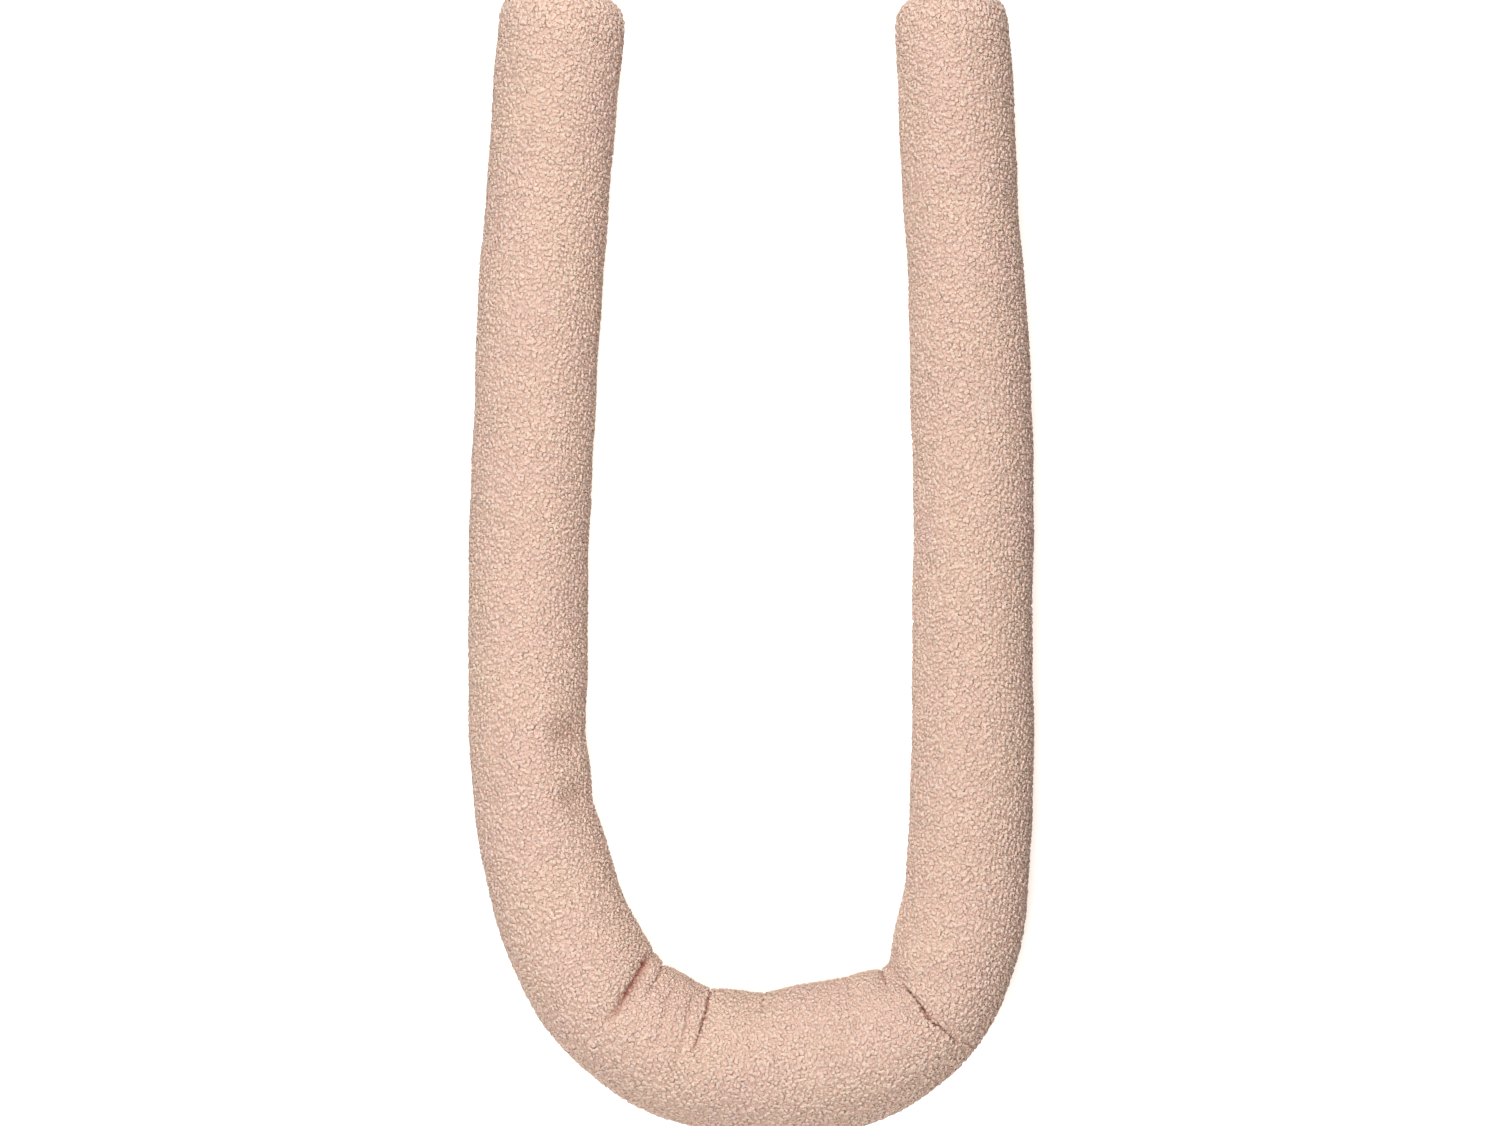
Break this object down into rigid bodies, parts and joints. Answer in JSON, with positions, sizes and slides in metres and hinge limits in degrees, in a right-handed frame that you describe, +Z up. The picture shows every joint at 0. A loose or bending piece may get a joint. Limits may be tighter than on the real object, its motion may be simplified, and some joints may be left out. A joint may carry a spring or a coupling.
{
  "type": "long bolster cushion",
  "caption": "Long round stuffed bolster cushion in looped boucle cloth, lying flat in a U, with rounded closed ends and soft folds inside its bend.",
  "frame": {"origin": "middle of the cushion's box, on the floor that it lies on", "axes": "+Y along the legs towards the open end of the U, +Z up from the floor, +X from the left leg to the right leg"},
  "size_m": [0.503, 1.017, 0.098],
  "materials": {
    "boucle": "looped boucle cloth, blush pink, matte"
  },
  "bodies": {
    "root": {"bolster_cushion": "boucle"}
  },
  "joints": []
}
